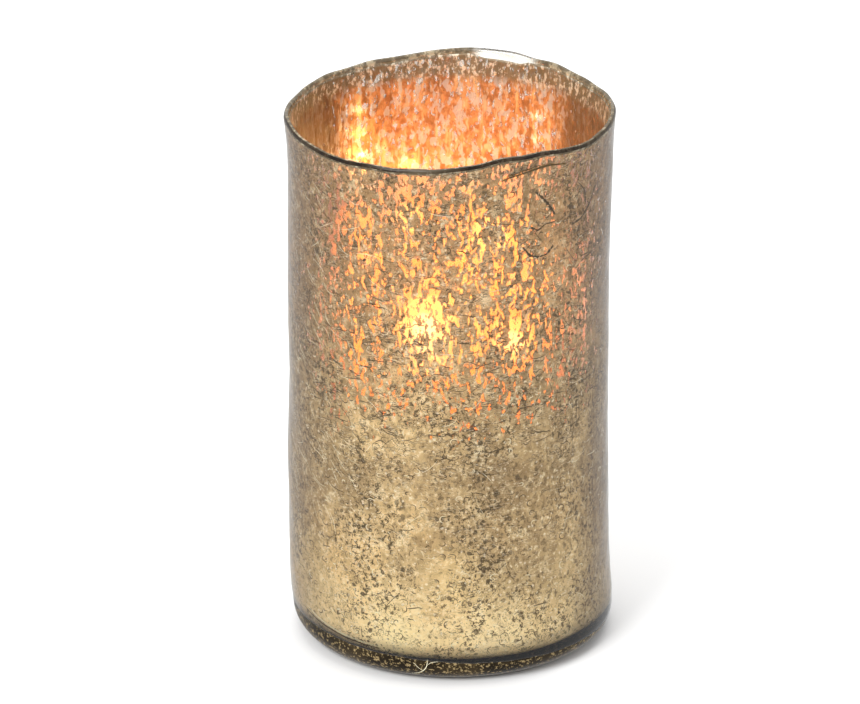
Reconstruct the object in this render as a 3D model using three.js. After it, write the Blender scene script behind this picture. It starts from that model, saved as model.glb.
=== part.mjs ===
// Tealight holder: a hand-blown glass cup, silvered on the inside, with a standard tealight in it.
// Units are millimetres, +Z is up, the origin is at the centre of the foot, on the table.
import * as THREE from 'three';

// ---------------------------------------------------------------- glass: shape functions
// The angle a runs round the axis from the front (-Y) towards the right (+X).

const SEG = 56;              // facets round the glass
const RIM_Z = 151.4;         // mean height of the rim
const WAVE_FROM = 96;        // below this height the rim's waviness has died out

// Height of the hand-cut rim, as a Fourier series in a: [cos, sin] for each order, in mm.
const RIM_WAVE = [
  [0.04, 0.80], [0.55, 0.28], [-0.28, 0.52], [0.26, 0.12], [0.07, 0.36], [-0.24, -0.05], [-0.20, 0.01],
];

// Outer profile of the wall: [height, radius].
const WALL = [
  [6.9, 44.15], [12, 44.4], [22, 44.45], [38, 44.25], [58, 44.05], [78, 43.98], [96, 43.98],
  [110, 44.0], [122, 44.05], [131, 44.12], [138, 44.22], [143.5, 44.42], [147.5, 44.72], [150.2, 44.95],
];

// Sideways drift of the section's centre along X: the cup was shaped by hand and leans a little.
const DRIFT = [[0, 1.0], [3, 0.95], [7, 0.75], [15, 0.3], [25, 0.0], [50, -0.3], [95, -0.4], [120, -0.25], [140, 0], [160, 0]];

// Thickness of the wall: [height, mm].
const THICK = [[0, 2.2], [14, 2.1], [30, 1.9], [80, 1.75], [130, 1.65], [160, 1.55]];

const FLOOR_Z = 6.0;         // top of the solid glass base
const CORNER_R = 6.9;        // outer rounding between foot and wall
const FOOT_R = 37.2;         // outer edge of the flat foot ring

function interp(table, x) {
  if (x <= table[0][0]) return table[0][1];
  for (let i = 1; i < table.length; i++) {
    if (x <= table[i][0]) {
      const [x0, y0] = table[i - 1];
      const [x1, y1] = table[i];
      return y0 + ((y1 - y0) * (x - x0)) / (x1 - x0);
    }
  }
  return table[table.length - 1][1];
}

const smooth = (t) => { const u = Math.min(1, Math.max(0, t)); return u * u * (3 - 2 * u); };

function rimWave(a) {
  let h = 0;
  RIM_WAVE.forEach(([c, s], i) => { h += c * Math.cos((i + 1) * a) + s * Math.sin((i + 1) * a); });
  return h;
}

// How far the section departs from a true circle, in mm.
function outOfRound(a, z) {
  const body = smooth((z - 4) / 20);
  const mouth = smooth((z - 120) / 30);
  return body * (0.12 * Math.cos(2 * a + 0.7) + 0.10 * Math.cos(3 * a - 1.1 + z * 0.012) + 0.05 * Math.cos(5 * a + z * 0.05))
    + mouth * (0.18 * Math.cos(2 * a + 2.4) + 0.10 * Math.cos(4 * a + 0.5));
}

// A point of the glass at angle a, nominal height z and nominal radius r.
function glassPoint(a, z, r) {
  const lift = rimWave(a) * smooth((z - WAVE_FROM) / (RIM_Z - WAVE_FROM));
  const rr = r + outOfRound(a, z) * smooth(r / 30);
  return [rr * Math.sin(a) + interp(DRIFT, z) * smooth(r / 30), -rr * Math.cos(a), z + lift];
}

// ---------------------------------------------------------------- closed skins from rings
// levels: a list of [z, r]; r = 0 is a single point on the axis. The skin runs from an axis point, out and
// round, and back to an axis point.
function ringSkin(levels, seg, point) {
  const pos = [];
  const index = [];
  const rows = levels.map(([z, r]) => {
    const start = pos.length / 3;
    if (r === 0) { pos.push(...point(0, z, 0)); return { start, n: 1 }; }
    for (let i = 0; i < seg; i++) pos.push(...point((i / seg) * Math.PI * 2, z, r));
    return { start, n: seg };
  });
  for (let k = 0; k + 1 < rows.length; k++) {
    const p = rows[k];
    const q = rows[k + 1];
    for (let i = 0; i < seg; i++) {
      const j = (i + 1) % seg;
      if (p.n === 1) index.push(p.start, q.start + j, q.start + i);
      else if (q.n === 1) index.push(p.start + i, p.start + j, q.start);
      else index.push(p.start + i, p.start + j, q.start + j, p.start + i, q.start + j, q.start + i);
    }
  }
  const geo = new THREE.BufferGeometry();
  geo.setAttribute('position', new THREE.Float32BufferAttribute(pos, 3));
  geo.setIndex(index);
  if (signedVolume(geo) < 0) {
    const flipped = [];
    for (let i = 0; i < index.length; i += 3) flipped.push(index[i], index[i + 2], index[i + 1]);
    geo.setIndex(flipped);
  }
  geo.computeVertexNormals();
  return geo;
}

function signedVolume(geo) {
  const p = geo.attributes.position;
  const idx = geo.index;
  const a = new THREE.Vector3(), b = new THREE.Vector3(), c = new THREE.Vector3();
  let v = 0;
  for (let i = 0; i < idx.count; i += 3) {
    a.fromBufferAttribute(p, idx.getX(i));
    b.fromBufferAttribute(p, idx.getX(i + 1));
    c.fromBufferAttribute(p, idx.getX(i + 2));
    v += a.dot(b.cross(c)) / 6;
  }
  return v;
}

// ---------------------------------------------------------------- glass_vessel
// Cavity profile, floor to top of the silvering: [z, r, inward normal along r, inward normal along z].
const IN_CORNER = 5.6;
const IN_R0 = interp(WALL, FLOOR_Z + IN_CORNER) - interp(THICK, FLOOR_Z + IN_CORNER);
const cavity = [[FLOOR_Z, 0, 0, 1], [FLOOR_Z, 22, 0, 1], [FLOOR_Z, IN_R0 - IN_CORNER, 0, 1]];
for (const deg of [22.5, 45, 67.5]) {
  const t = (deg * Math.PI) / 180;
  cavity.push([FLOOR_Z + IN_CORNER * (1 - Math.cos(t)), IN_R0 - IN_CORNER + IN_CORNER * Math.sin(t), Math.sin(t), Math.cos(t)]);
}
for (const z of [FLOOR_Z + IN_CORNER, 22, 38, 58, 78, 96, 110, 122, 131, 138, 143.5, 147.3, 149.6]) {
  cavity.push([z, interp(WALL, z) - interp(THICK, z), 1, 0]);
}

const outer = [[0.9, 0], [0.75, 7], [0.3, 13], [0, 16.5], [0, 27], [0, FOOT_R]];
for (const deg of [15, 32, 50, 70]) {
  const t = (deg * Math.PI) / 180;
  outer.push([CORNER_R * (1 - Math.cos(t)), FOOT_R + (interp(WALL, 6.9) - FOOT_R) * Math.sin(t)]);
}
for (const [z, r] of WALL) outer.push([z, r]);
const lip = [[151.05, 44.86], [151.4, 44.45], [151.4, 43.95], [151.0, 43.5]];
const glassLevels = [...outer, ...lip, ...[...cavity].reverse().map(([z, r]) => [z, r])];
const glassGeo = ringSkin(glassLevels, SEG, glassPoint);

// ---------------------------------------------------------------- silvered_lining
// A thin skin that follows the cavity, from the floor to a little under the rim.
const SKIN_GAP = 0.06;
const SKIN_T = 0.15;
const skinAt = (off) => cavity.map(([z, r, nr, nz]) => [z + off * nz, r === 0 ? 0 : r - off * nr]);
const skinPoint = (off) => (a, z, r) => glassPoint(a, z, r);
const liningLevels = [...skinAt(SKIN_GAP), ...skinAt(SKIN_GAP + SKIN_T).reverse()];
const liningGeo = ringSkin(liningLevels, SEG, skinPoint(0));

// ---------------------------------------------------------------- the tealight
// Standard 38 mm size. Local heights start at the underside of its cup.
const CUP_Z = FLOOR_Z + SKIN_GAP + SKIN_T + 0.19;

function lathe(profile, seg) {
  const pts = profile.map(([r, z]) => new THREE.Vector2(r, z));
  const geo = new THREE.LatheGeometry(pts, seg);
  geo.rotateX(Math.PI / 2);
  return geo;
}

const cupGeo = lathe([
  [0, 0.0], [12.5, 0.0], [13.2, 0.25], [16.2, 0.25], [16.8, 0.0], [17.7, 0.0], [18.2, 0.25], [18.42, 0.9],
  [18.75, 14.9], [19.2, 15.15], [19.36, 15.55], [19.2, 15.92], [18.85, 16.0], [18.55, 15.8], [18.43, 14.9],
  [18.12, 1.1], [17.95, 0.65], [17.55, 0.5], [12.9, 0.55], [12.3, 0.3], [0, 0.3],
], 40);

const waxGeo = lathe([
  [6.85, 0.85], [17.1, 0.85], [17.75, 1.5], [18.12, 14.0], [17.7, 14.2], [16.9, 13.85], [14.6, 13.6],
  [12.0, 13.3], [5.0, 13.2], [1.9, 13.4], [1.2, 13.35], [1.2, 4.1], [1.8, 4.1], [1.8, 1.4], [6.85, 1.4], [6.85, 0.85],
], 40);

const sustainerGeo = lathe([
  [1.12, 0.6], [6.5, 0.6], [6.5, 0.95], [1.85, 0.95], [1.5, 1.2], [1.5, 3.8], [1.12, 3.8], [1.12, 0.6],
], 20);

// The wick stands straight in the wax and curls over a little at its burnt end.
const WICK_TOP = 22.4;
const wickLevels = [[0.7, 0], [0.7, 0.85], [4, 0.9], [9, 0.9], [13.6, 0.9], [15.5, 0.92], [17.2, 0.9], [18.8, 0.86],
  [20.2, 0.8], [21.4, 0.66], [22.1, 0.4], [WICK_TOP, 0]];
const wickGeo = ringSkin(wickLevels, 12, (a, z, r) => {
  const t = Math.max(0, (z - 14) / (WICK_TOP - 14));
  return [r * Math.sin(a) + 1.6 * t * t, -r * Math.cos(a) - 0.5 * t * t, z];
});

// ---------------------------------------------------------------- assembly
const group = new THREE.Group();
group.name = 'tealight_holder';

function add(name, geo, z, mat) {
  const mesh = new THREE.Mesh(geo, new THREE.MeshStandardMaterial(mat));
  mesh.name = name;
  mesh.position.z = z;
  mesh.material.name = name;
  group.add(mesh);
  return mesh;
}

add('glass_vessel', glassGeo, 0, { color: 0xd6cdb6, roughness: 0.08, metalness: 0, transparent: true, opacity: 0.4 });
add('silvered_lining', liningGeo, 0, { color: 0xb9a27a, roughness: 0.35, metalness: 0.9 });
add('tealight_cup', cupGeo, CUP_Z, { color: 0xc9cbcd, roughness: 0.3, metalness: 1 });
add('tealight_wax', waxGeo, CUP_Z, { color: 0xf3ead6, roughness: 0.45, metalness: 0 });
add('wick_sustainer', sustainerGeo, CUP_Z, { color: 0xb4b4b0, roughness: 0.35, metalness: 1 });
add('wick', wickGeo, CUP_Z, { color: 0xd8d0bd, roughness: 0.95, metalness: 0 });

export default group;
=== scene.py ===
import math

import bpy
import numpy as np
from mathutils import Matrix, Vector


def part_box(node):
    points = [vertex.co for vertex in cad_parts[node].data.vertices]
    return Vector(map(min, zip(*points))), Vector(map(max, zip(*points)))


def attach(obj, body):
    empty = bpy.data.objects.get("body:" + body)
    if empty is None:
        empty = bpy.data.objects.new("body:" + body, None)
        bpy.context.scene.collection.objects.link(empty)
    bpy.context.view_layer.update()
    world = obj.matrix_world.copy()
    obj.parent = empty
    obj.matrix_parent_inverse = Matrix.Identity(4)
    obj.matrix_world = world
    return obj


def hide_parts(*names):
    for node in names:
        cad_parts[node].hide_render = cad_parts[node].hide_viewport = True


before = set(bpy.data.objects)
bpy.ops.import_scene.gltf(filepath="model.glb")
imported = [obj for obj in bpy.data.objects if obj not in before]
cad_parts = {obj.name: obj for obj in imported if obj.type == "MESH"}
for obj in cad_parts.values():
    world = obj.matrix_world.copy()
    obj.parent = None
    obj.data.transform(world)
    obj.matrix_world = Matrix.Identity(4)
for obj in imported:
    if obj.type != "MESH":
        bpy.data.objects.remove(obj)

MM = 0.001
scene = bpy.context.scene
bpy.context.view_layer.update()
cup_lo, cup_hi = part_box("tealight_cup")
CUP_Z = cup_lo.z / MM          # underside of the tealight, in mm


# ------------------------------------------------------------------ camera
# The photograph's viewing angle: from the front, 22.7 degrees above the horizon, a long lens.
def make_camera():
    e = math.radians(22.69)
    dist, focal_px = 2.2, 8017.0
    right = Vector((1, 0, 0))
    up = Vector((0, math.sin(e), math.cos(e)))
    back = Vector((0, -math.cos(e), math.sin(e)))
    target = Vector((0, 0, 0.075))
    dx = (449.75 - 430.0) / focal_px * dist
    dy = -(369.235 - 352.0) / focal_px * dist
    cam = bpy.data.cameras.new("camera")
    cam.sensor_width = 36.0
    cam.lens = focal_px * 36.0 / 860.0
    cam.clip_start, cam.clip_end = 0.05, 50.0
    ob = bpy.data.objects.new("camera", cam)
    scene.collection.objects.link(ob)
    ob.matrix_world = Matrix((right, up, back)).transposed().to_4x4()
    ob.location = target + back * dist - right * dx - up * dy
    scene.camera = ob


make_camera()


# ------------------------------------------------------------------ small helpers
def new_mesh(name, verts, faces, body, smooth=True, mats=(), face_mat=None):
    me = bpy.data.meshes.new(name)
    me.from_pydata([tuple(v) for v in verts], [], [tuple(f) for f in faces])
    me.update()
    for m in mats:
        me.materials.append(m)
    if face_mat is not None:
        me.polygons.foreach_set("material_index", np.asarray(face_mat, dtype=np.int32))
    if smooth:
        me.polygons.foreach_set("use_smooth", np.ones(len(me.polygons), dtype=bool))
    ob = bpy.data.objects.new(name, me)
    scene.collection.objects.link(ob)
    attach(ob, body)
    return ob


def pchip(table):
    """A smooth curve through a table of (x, y) that doesn't overshoot, as a function of an array."""
    x = np.array([t[0] for t in table], float)
    y = np.array([t[1] for t in table], float)
    h = np.diff(x)
    d = np.diff(y) / h
    m = np.zeros_like(y)
    for i in range(1, len(x) - 1):
        if d[i - 1] * d[i] > 0:
            w1, w2 = 2 * h[i] + h[i - 1], h[i] + 2 * h[i - 1]
            m[i] = (w1 + w2) / (w1 / d[i - 1] + w2 / d[i])
    m[0], m[-1] = d[0], d[-1]

    def f(q):
        q = np.clip(np.asarray(q, float), x[0], x[-1])
        k = np.clip(np.searchsorted(x, q, side="right") - 1, 0, len(x) - 2)
        t = (q - x[k]) / h[k]
        return (
            y[k] * (1 + 2 * t) * (1 - t) ** 2 + m[k] * h[k] * t * (1 - t) ** 2
            + y[k + 1] * t * t * (3 - 2 * t) + m[k + 1] * h[k] * t * t * (t - 1)
        )

    return f


def smooth(t):
    u = np.clip(t, 0.0, 1.0)
    return u * u * (3 - 2 * u)


class Ripple:
    """Smooth random waves on a cylinder, periodic round it. Angles in radians, heights in mm."""

    def __init__(self, seed, turns, heights, count):
        rng = np.random.default_rng(seed)
        self.k = rng.integers(turns[0], turns[1] + 1, count)
        self.k = self.k * rng.choice([-1, 1], count)
        self.f = 2 * math.pi / rng.uniform(heights[0], heights[1], count)
        self.p = rng.uniform(0, 2 * math.pi, count)
        self.a = rng.uniform(0.5, 1.0, count)
        self.a /= math.sqrt((self.a ** 2).sum() / 2)

    def __call__(self, a, z):
        out = np.zeros(np.broadcast(a, z).shape)
        for k, f, p, w in zip(self.k, self.f, self.p, self.a):
            out += w * np.sin(k * a + f * z + p)
        return out


# ------------------------------------------------------------------ the glass, same shape functions as the CAD
RIM_Z = 151.4
WAVE_FROM = 96.0
RIM_WAVE = [
    (0.04, 0.80), (0.55, 0.28), (-0.28, 0.52), (0.26, 0.12), (0.07, 0.36), (-0.24, -0.05), (-0.20, 0.01),
]
WALL = [
    (6.9, 44.15), (12, 44.4), (22, 44.45), (38, 44.25), (58, 44.05), (78, 43.98), (96, 43.98),
    (110, 44.0), (122, 44.05), (131, 44.12), (138, 44.22), (143.5, 44.42), (147.5, 44.72), (150.2, 44.95),
]
DRIFT = [(0, 1.0), (3, 0.95), (7, 0.75), (15, 0.3), (25, 0.0), (50, -0.3), (95, -0.4), (120, -0.25), (140, 0), (160, 0)]
THICK = [(0, 2.2), (14, 2.1), (30, 1.9), (80, 1.75), (130, 1.65), (160, 1.55)]
FLOOR_Z, CORNER_R, FOOT_R, IN_CORNER = 6.0, 6.9, 37.2, 5.6

wall_r, drift_x, thick = pchip(WALL), pchip(DRIFT), pchip(THICK)
lump_big = Ripple(11, (3, 9), (28, 70), 10)      # long soft waves of hand-blown glass
lump_small = Ripple(12, (12, 34), (7, 20), 22)   # shorter ripples
lump_fine = Ripple(13, (40, 80), (3.0, 7.0), 26)
rim_nick = Ripple(14, (9, 26), (1000, 2000), 9)  # small unevenness of the cut edge


def rim_wave(a):
    h = np.zeros_like(a)
    for i, (c, s) in enumerate(RIM_WAVE, 1):
        h = h + c * np.cos(i * a) + s * np.sin(i * a)
    return h + 0.10 * rim_nick(a, 0.0)


def out_of_round(a, z):
    return smooth((z - 4) / 20) * (
        0.12 * np.cos(2 * a + 0.7) + 0.10 * np.cos(3 * a - 1.1 + z * 0.012) + 0.05 * np.cos(5 * a + z * 0.05)
    ) + smooth((z - 120) / 30) * (0.18 * np.cos(2 * a + 2.4) + 0.10 * np.cos(4 * a + 0.5))


def glass_point(a, z, r, bump=0.0):
    """Angle a from the front towards the right, nominal height and radius in mm; bump moves a point outwards."""
    a, z, r = np.broadcast_arrays(np.asarray(a, float), np.asarray(z, float), np.asarray(r, float))
    lift = rim_wave(a) * smooth((z - WAVE_FROM) / (RIM_Z - WAVE_FROM))
    inside = smooth(r / 30)
    rr = r + out_of_round(a, z) * inside + bump
    return np.stack([rr * np.sin(a) + drift_x(z) * inside, -rr * np.cos(a), z + lift], -1) * MM


def fold(a, z):
    """The folded stretch of the lip at the right of the front: a shallow crease under the rim, in mm inwards."""
    deg = np.degrees((a + math.pi) % (2 * math.pi) - math.pi)
    line = RIM_Z - 4.2 + 0.055 * (deg - 30) - 0.0035 * (deg - 30) ** 2
    along = smooth((deg - 12) / 10) * (1 - smooth((deg - 44) / 10))
    return along * (0.42 * np.exp(-((z - line) / 0.55) ** 2) - 0.22 * np.exp(-((z - line - 1.5) / 0.9) ** 2))


def ring_levels(levels, seg, point):
    """Closed skin through rings. levels: (z, r, tag); r = 0 is one point on the axis."""
    verts, faces, tags, rows = [], [], [], []
    ang = np.arange(seg) / seg * 2 * math.pi
    for z, r, tag in levels:
        start = len(verts)
        if r == 0:
            verts.append(point(np.zeros(1), z, 0.0, tag)[0])
            rows.append((start, 1, tag))
        else:
            verts.extend(point(ang, z, r, tag))
            rows.append((start, seg, tag))
    for (s0, n0, t0), (s1, n1, t1) in zip(rows, rows[1:]):
        for i in range(seg):
            j = (i + 1) % seg
            if n0 == 1:
                faces.append((s0, s1 + j, s1 + i))
            elif n1 == 1:
                faces.append((s0 + i, s0 + j, s1))
            else:
                faces.append((s0 + i, s0 + j, s1 + j, s1 + i))
            tags.append(t1)
    return verts, faces, tags


IN_R0 = float(wall_r(FLOOR_Z + IN_CORNER) - thick(FLOOR_Z + IN_CORNER))


def cavity_levels(step, top=150.15):
    """(z, r, inward normal r, inward normal z) down the inside of the glass, floor first."""
    out = [(FLOOR_Z, 0.0, 0, 1)]
    for r in (4, 9, 14, 19, 24, 29, 33):
        out.append((FLOOR_Z, float(r), 0, 1))
    out.append((FLOOR_Z, IN_R0 - IN_CORNER, 0, 1))
    for k in range(1, 10):
        t = math.radians(9 * k)
        out.append((FLOOR_Z + IN_CORNER * (1 - math.cos(t)), IN_R0 - IN_CORNER + IN_CORNER * math.sin(t), math.sin(t), math.cos(t)))
    z = FLOOR_Z + IN_CORNER
    while z < top - 0.3:
        out.append((z, float(wall_r(z) - thick(z)), 1, 0))
        z += step if z < 138 else 0.55
    out.append((top, float(wall_r(top) - thick(top)), 1, 0))
    return out


def glass_skin():
    lv = [(0.9, 0.0, 0), (0.88, 3.0, 0), (0.75, 7.0, 0), (0.5, 10.5, 0), (0.22, 13.5, 0), (0.06, 15.5, 0), (0.0, 17.0, 0)]
    lv += [(0.0, float(r), 0) for r in (20, 24, 28, 32, 35, 36.6, FOOT_R)]
    r_top = float(wall_r(6.9))
    for k in range(1, 15):
        t = math.radians(6 * k)
        lv.append((CORNER_R * (1 - math.cos(t)), FOOT_R + (r_top - FOOT_R) * math.sin(t), 1))
    z = 6.9
    while z < 150.2:
        lv.append((z, float(wall_r(z)), 1))
        z += 1.15 if z < 138 else 0.6
    # the lip: rounded over, thicker than a knife edge
    for z, r in ((150.45, 44.94), (150.85, 44.88), (151.15, 44.74), (151.34, 44.52), (151.42, 44.25), (151.40, 43.98),
                 (151.25, 43.74), (151.0, 43.55), (150.65, 43.43), (150.2, 43.36)):
        lv.append((z, r, 2 if z > 150.6 and r > 44.4 else 4))
    for z, r, nr, nz in reversed(cavity_levels(1.3)):
        lv.append((z, r, 5 if z > 149.3 else 3))

    def point(a, z, r, tag):
        w = float(smooth(np.array((z - 1.5) / 9.0)))
        if tag in (1, 2, 4):
            bump = w * (0.10 * lump_big(a, z) + 0.022 * lump_small(a, z) + 0.007 * lump_fine(a, z)) - fold(a, z)
        elif tag in (3, 5) and r > 36:
            bump = w * 0.10 * lump_big(a, z)
        else:
            bump = 0.0
        return glass_point(a, z, r, bump)

    verts, faces, tags = ring_levels(lv, 288, point)
    return verts, faces, tags


def lining_skin():
    """The silvering: a 0.1 mm shell laid on the inside of the glass, with the glass's inner face between its two
    faces, so it touches the glass all over. Its upper edge is uneven and stops short of the rim."""
    half = 0.05
    edge = Ripple(21, (5, 30), (1000, 2000), 14)
    cav = cavity_levels(1.3, 150.1)
    outer = [(z - half * nz, r, -half * nr, 0) for z, r, nr, nz in cav]
    inner = [(z + half * nz, r, half * nr, 1) for z, r, nr, nz in reversed(cav)]

    def point(a, z, r, tag):
        off, tag = tag
        # the top of the shell: close under the lip, lower along one clear stretch right of the middle of the back
        deg = np.degrees((a + 2 * math.pi) % (2 * math.pi))
        drop = 0.04 + 1.2 * smooth((deg - 149) / 5) * (1 - smooth((deg - 166) / 8)) + 0.06 * edge(a, 0.0)
        zz = z - smooth((z - 138.0) / (150.1 - 138.0)) * np.clip(drop, 0.0, 3)
        w = smooth((zz - 1.5) / 9.0)
        if z > FLOOR_Z + IN_CORNER:
            r = wall_r(zz) - thick(zz)
        bump = w * 0.10 * lump_big(a, zz) if np.max(r) > 36 else 0.0
        return glass_point(a, zz, r - off, bump)

    lv = [(z, r, (off, tag)) for z, r, off, tag in outer + inner]
    verts, faces, tags = ring_levels(lv, 288, point)
    return verts, faces, [t[1] for t in tags]


# ------------------------------------------------------------------ shader building
class Tree:
    """A few short words for building node trees."""

    def __init__(self, name):
        self.mat = bpy.data.materials.new(name)
        self.mat.use_nodes = True
        self.nt = self.mat.node_tree
        self.nt.nodes.clear()
        self.out = self.nt.nodes.new("ShaderNodeOutputMaterial")
        self.bsdf = self.nt.nodes.new("ShaderNodeBsdfPrincipled")
        self.nt.links.new(self.bsdf.outputs[0], self.out.inputs[0])
        self._co = None

    def put(self, socket, value):
        if isinstance(value, bpy.types.NodeSocket):
            self.nt.links.new(value, socket)
        elif value is not None:
            socket.default_value = value

    def set(self, **kw):
        for k, v in kw.items():
            self.put(self.bsdf.inputs[k.replace("_", " ")], v)

    def co(self):
        if self._co is None:
            self._co = self.nt.nodes.new("ShaderNodeTexCoord").outputs["Object"]
        return self._co

    def scaled(self, x, y, z, offset=(0, 0, 0), src=None):
        n = self.nt.nodes.new("ShaderNodeMapping")
        self.put(n.inputs["Vector"], src if src is not None else self.co())
        n.inputs["Scale"].default_value = (x, y, z)
        n.inputs["Location"].default_value = offset
        return n.outputs[0]

    def noise(self, vec, scale=1.0, detail=3.0, rough=0.55, lac=2.0, dist=0.0, color=False):
        n = self.nt.nodes.new("ShaderNodeTexNoise")
        self.put(n.inputs["Vector"], vec)
        n.inputs["Scale"].default_value = scale
        n.inputs["Detail"].default_value = detail
        n.inputs["Roughness"].default_value = rough
        n.inputs["Lacunarity"].default_value = lac
        n.inputs["Distortion"].default_value = dist
        return n.outputs["Color"] if color else n.outputs[0]

    def voronoi(self, vec, scale=1.0, feature="F1", rand=1.0, out="Distance", smoothness=None):
        n = self.nt.nodes.new("ShaderNodeTexVoronoi")
        n.feature = feature
        self.put(n.inputs["Vector"], vec)
        n.inputs["Scale"].default_value = scale
        n.inputs["Randomness"].default_value = rand
        if smoothness is not None and feature == "SMOOTH_F1":
            n.inputs["Smoothness"].default_value = smoothness
        return n.outputs[out]

    def cells(self, vec):
        """Distance to the nearest cell point, and three random numbers for the cell."""
        n = self.nt.nodes.new("ShaderNodeTexVoronoi")
        self.put(n.inputs["Vector"], vec)
        n.inputs["Scale"].default_value = 1.0
        c = self.nt.nodes.new("ShaderNodeSeparateColor")
        self.put(c.inputs[0], n.outputs["Color"])
        return n.outputs["Distance"], c.outputs[0], c.outputs[1], c.outputs[2]

    def near(self, deg, z, reach, hard=0.25):
        """1 close to a place on the wall (degrees from the front, mm), falling to 0 at reach mm."""
        n = self.nt.nodes.new("ShaderNodeVectorMath")
        n.operation = "DISTANCE"
        self.put(n.inputs[0], self.co())
        a = math.radians(deg)
        n.inputs[1].default_value = (0.0425 * math.sin(a), -0.0425 * math.cos(a), z * MM)
        return self.ramp(n.outputs["Value"], reach * hard * MM, reach * MM, 1.0, 0.0)

    def spots(self, vec, share, size, soft=0.07):
        """Round spots of mixed sizes in a share of the cells; returns the spots and their middles."""
        d, r, g, b = self.cells(vec)
        rad = self.ramp(r, 1.0 - share, 1.0, 0.0, size, kind="LINEAR")
        spot = self.ramp(self.math("SUBTRACT", d, rad), -soft, soft * 0.4, 1.0, 0.0)
        core = self.ramp(self.math("SUBTRACT", d, self.math("MULTIPLY", rad, 0.5)), -soft, soft * 0.4, 1.0, 0.0)
        return spot, self.math("MULTIPLY", core, self.ramp(g, 0.45, 0.5)), b

    def math(self, op, a, b=None, c=None, clamp=False):
        n = self.nt.nodes.new("ShaderNodeMath")
        n.operation = op
        n.use_clamp = clamp
        for i, v in enumerate((a, b, c)):
            if v is not None:
                self.put(n.inputs[i], v)
        return n.outputs[0]

    def vmath(self, op, a, b=None, scale=None):
        n = self.nt.nodes.new("ShaderNodeVectorMath")
        n.operation = op
        self.put(n.inputs[0], a)
        if b is not None:
            self.put(n.inputs[1], b)
        if scale is not None:
            self.put(n.inputs["Scale"], scale)
        return n.outputs[0]

    def ramp(self, v, lo, hi, a=0.0, b=1.0, kind="SMOOTHSTEP"):
        n = self.nt.nodes.new("ShaderNodeMapRange")
        n.interpolation_type = kind
        n.clamp = True
        self.put(n.inputs["Value"], v)
        for k, val in (("From Min", lo), ("From Max", hi), ("To Min", a), ("To Max", b)):
            self.put(n.inputs[k], val)
        return n.outputs[0]

    def mix(self, f, a, b, blend="MIX"):
        n = self.nt.nodes.new("ShaderNodeMix")
        n.data_type = "RGBA"
        n.blend_type = blend
        n.clamp_factor = True
        self.put(n.inputs[0], f)
        self.put(n.inputs[6], (*a, 1.0) if isinstance(a, tuple) else a)
        self.put(n.inputs[7], (*b, 1.0) if isinstance(b, tuple) else b)
        return n.outputs[2]

    def bump(self, height, strength, distance, normal=None):
        n = self.nt.nodes.new("ShaderNodeBump")
        n.inputs["Strength"].default_value = strength
        n.inputs["Distance"].default_value = distance
        self.put(n.inputs["Height"], height)
        if normal is not None:
            self.put(n.inputs["Normal"], normal)
        return n.outputs[0]

    def xyz(self):
        n = self.nt.nodes.new("ShaderNodeSeparateXYZ")
        self.put(n.inputs[0], self.co())
        return n.outputs[0], n.outputs[1], n.outputs[2]


def srgb(r, g, b):
    f = lambda c: (c / 255 / 12.92) if c / 255 <= 0.04045 else ((c / 255 + 0.055) / 1.055) ** 2.4
    return (f(r), f(g), f(b))


# ------------------------------------------------------------------ materials: glass
def foot_height(t, x, y, z, warp):
    """Height for the dark foot band of painted shade, whose upper edge climbs to the left and falls to the right."""
    wave = t.math("MULTIPLY", t.math("SUBTRACT", warp, 0.5), 0.0012)
    return t.math("ADD", t.math("ADD", z, wave), t.math("MULTIPLY", x, 0.045))


def glass_material():
    t = Tree("clear_glass")
    x, y, z = t.xyz()
    fine = t.noise(t.scaled(420, 420, 300), detail=2.0, rough=0.5)
    seed = t.noise(t.scaled(95, 95, 60), detail=3.0, rough=0.55)
    h = t.math("ADD", t.math("MULTIPLY", fine, 0.25), seed)
    # painted shade: the solid base is tinted dark and smoky, for the shade in the thick base, with pale flecks on it
    warp = t.noise(t.scaled(90, 90, 90), detail=3.0, rough=0.6)
    edge = foot_height(t, x, y, z, warp)
    base = t.ramp(edge, 0.0066, 0.0070, 1.0, 0.0)
    dark = t.ramp(edge, 0.00675, 0.00705, 1.0, 0.0)
    specks = t.ramp(t.noise(t.scaled(1100, 1100, 1100), detail=3.0, rough=0.7), 0.545, 0.61)
    foot_shade = t.mix(t.ramp(warp, 0.4, 0.7), srgb(30, 23, 11), srgb(56, 45, 26))
    foot_shade = t.mix(specks, foot_shade, srgb(150, 130, 92))
    col = t.mix(dark, (0.970, 0.926, 0.850), foot_shade)
    t.set(Base_Color=col, Roughness=t.ramp(base, 0.0, 1.0, 0.11, 0.30), IOR=1.5,
          Transmission_Weight=t.ramp(base, 0.0, 1.0, 1.0, 0.0), Specular_IOR_Level=t.ramp(base, 0.0, 1.0, 0.38, 0.10),
          Normal=t.bump(h, 0.18, 0.0005))
    return t.mat


def lip_material():
    """The raw cut edge, stained by the patina that settled on it."""
    t = Tree("rim_edge_glass")
    n = t.noise(t.scaled(260, 260, 260), detail=4.0, rough=0.6)
    big = t.noise(t.scaled(40, 40, 40), detail=2.0)
    col = t.mix(t.ramp(n, 0.35, 0.7), srgb(26, 19, 12), srgb(64, 51, 35))
    col = t.mix(t.ramp(big, 0.52, 0.72, 0.0, 0.55), col, srgb(110, 98, 76))
    t.set(Base_Color=col, Roughness=t.ramp(n, 0.3, 0.7, 0.10, 0.35), IOR=1.5, Transmission_Weight=0.08, Specular_IOR_Level=0.18,
          Normal=t.bump(n, 0.3, 0.0003))
    return t.mat


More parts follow.
